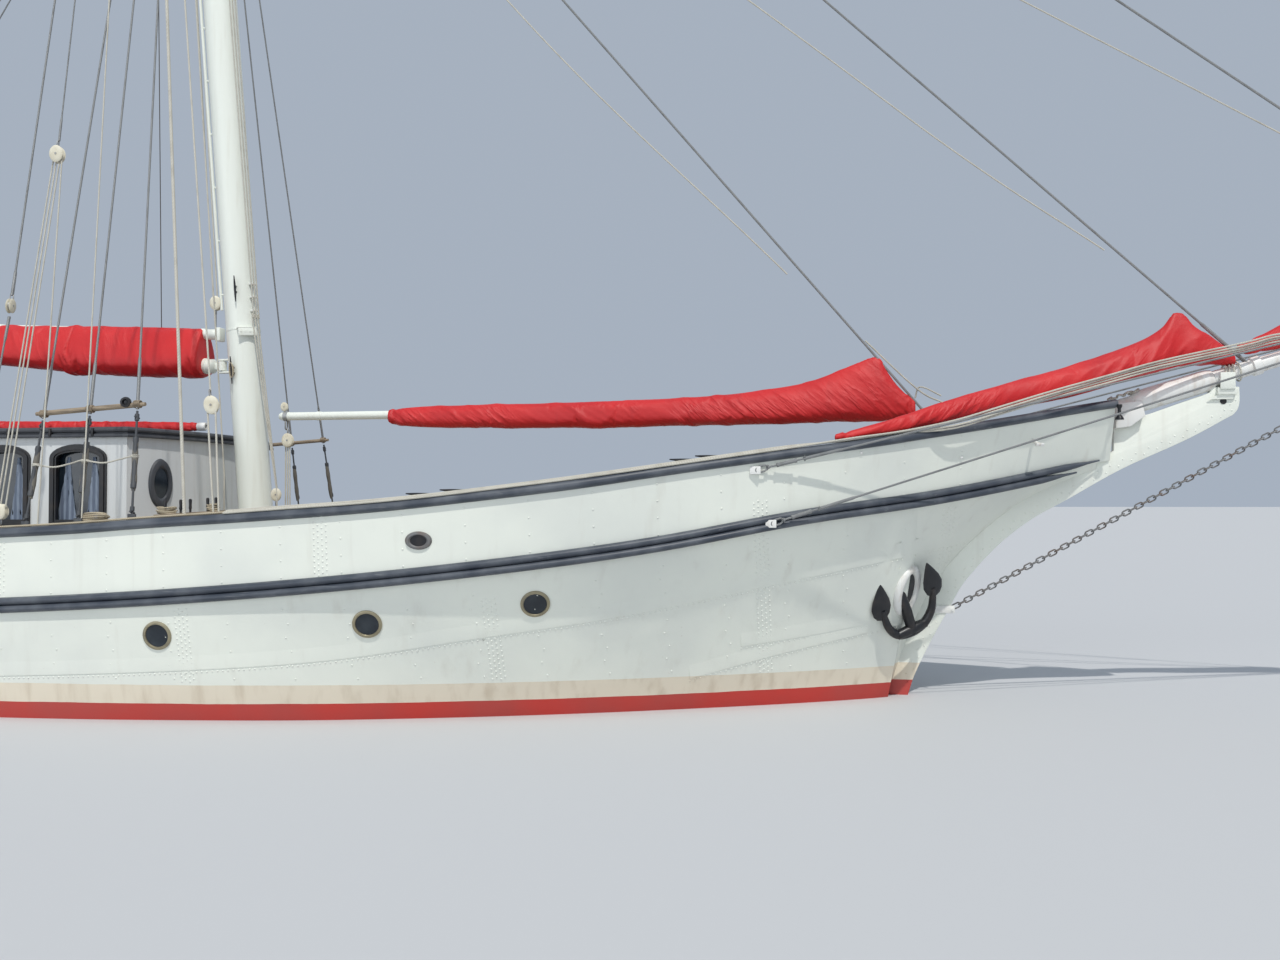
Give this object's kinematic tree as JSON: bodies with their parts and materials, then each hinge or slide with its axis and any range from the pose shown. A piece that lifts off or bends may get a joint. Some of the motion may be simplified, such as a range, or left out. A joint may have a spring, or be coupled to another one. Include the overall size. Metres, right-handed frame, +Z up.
{
  "type": "two-masted gaff schooner",
  "caption": "Sailing schooner with a riveted steel clipper hull, long keel, two pole masts, furled sails on booms, deckhouses, anchors, rudder and propeller.",
  "frame": {"origin": "on the centreline at the waterline, halfway along the waterline's length", "axes": "+X to the bow, +Y to port, +Z up"},
  "size_m": [35.3218, 6.62, 23.8],
  "materials": {
    "hull": "satin enamel, weathered",
    "antifoul": "matt antifouling",
    "grey": "satin enamel",
    "teak": "bare weathered teak",
    "white": "gloss enamel",
    "red": "woven acrylic sail cover",
    "steel": "galvanised, tarred",
    "black": "black paint",
    "bronze": "cast bronze",
    "glass": "clear, dark behind",
    "varnish": "varnished"
  },
  "bodies": {
    "hull": {"anchor_port": "black", "anchor_starboard": "black", "awning_roll": "red", "bobstay": "steel", "bowsprit": "white", "bowsprit_guys_port": "steel", "bowsprit_guys_starboard": "steel", "bulwark_port": "hull", "bulwark_starboard": "hull", "bulwark_stern": "hull", "cabin_roof": "grey", "cabin_walls": "white", "cap_rail_port": "grey", "cap_rail_starboard": "grey", "cap_rail_stern": "grey", "cutwater": "hull", "deck": "teak", "fore_shrouds_port": "steel", "fore_shrouds_starboard": "steel", "fore_stay": "steel", "foremast": "white", "gear_box": "varnish", "hatch_coaming": "varnish", "hull": "hull", "jib_cover": "red", "jib_stay": "steel", "keel": "antifoul", "main_shrouds_port": "steel", "main_shrouds_starboard": "steel", "mainmast": "white", "outer_jib_cover": "red", "outer_jib_stay": "steel", "rub_strake_port": "grey", "rub_strake_starboard": "grey", "saloon_glass_port": "glass", "saloon_glass_starboard": "glass", "saloon_roof": "grey", "saloon_walls": "white", "staysail_boom_post": "white", "triatic_stay": "steel", "windlass_frame": "grey"},
    "fore_sail_gear": {"fore_boom": "white", "fore_gaff": "white", "fore_sail_cover": "red"},
    "main_sail_gear": {"main_boom": "white", "main_gaff": "white", "main_sail_cover": "red"},
    "staysail_gear": {"staysail_boom": "white", "staysail_cover": "red"},
    "rudder": {"rudder": "antifoul"},
    "propeller": {"propeller": "bronze"},
    "steering_wheel": {"steering_wheel": "varnish"},
    "saloon_door": {"saloon_door": "varnish"},
    "cabin_door": {"cabin_door": "varnish"},
    "hatch_lid": {"hatch_lid": "varnish"},
    "windlass_drum": {"windlass_drum": "black"}
  },
  "joints": [
    {"name": "fore_boom_swing", "type": "hinge", "parent": "hull", "child": "fore_sail_gear", "pos_m": [3.6894, 0, 4.06], "axis": [0, 0, 1], "range_deg": [-60, 60]},
    {"name": "main_boom_swing", "type": "hinge", "parent": "hull", "child": "main_sail_gear", "pos_m": [-5.1716, 0, 4.06], "axis": [0, 0, 1], "range_deg": [-60, 60]},
    {"name": "staysail_boom_swing", "type": "hinge", "parent": "hull", "child": "staysail_gear", "pos_m": [12.52, 0, 3.385], "axis": [0, 0, 1], "range_deg": [-45, 45]},
    {"name": "rudder_turn", "type": "hinge", "parent": "hull", "child": "rudder", "pos_m": [-11.06, 0, -1.7], "axis": [0, 0, 1], "range_deg": [-35, 35]},
    {"name": "wheel_turn", "type": "hinge", "parent": "hull", "child": "steering_wheel", "pos_m": [-10.56, 0, 2.29], "axis": [1, 0, 0], "range_deg": [-525, 525]},
    {"name": "propeller_spin", "type": "hinge", "parent": "hull", "child": "propeller", "pos_m": [-10.52, 0, -1.72], "axis": [1, 0, 0], "continuous": true},
    {"name": "windlass_spin", "type": "hinge", "parent": "hull", "child": "windlass_drum", "pos_m": [11.15, 0, 2.66], "axis": [0, 1, 0], "continuous": true},
    {"name": "saloon_door_swing", "type": "hinge", "parent": "hull", "child": "saloon_door", "pos_m": [-2.319, 0.364, 2.08], "axis": [0, 0, 1], "range_deg": [-150, 0]},
    {"name": "cabin_door_swing", "type": "hinge", "parent": "hull", "child": "cabin_door", "pos_m": [-8.619, 0.334, 1.83], "axis": [0, 0, 1], "range_deg": [-150, 0]},
    {"name": "hatch_lid_swing", "type": "hinge", "parent": "hull", "child": "hatch_lid", "pos_m": [9.187, 0, 2.104], "axis": [0, 1, 0], "range_deg": [0, 100]}
  ],
  "couplings": [
    {"joint": "wheel_turn", "follows": "rudder_turn", "ratio": 15}
  ]
}
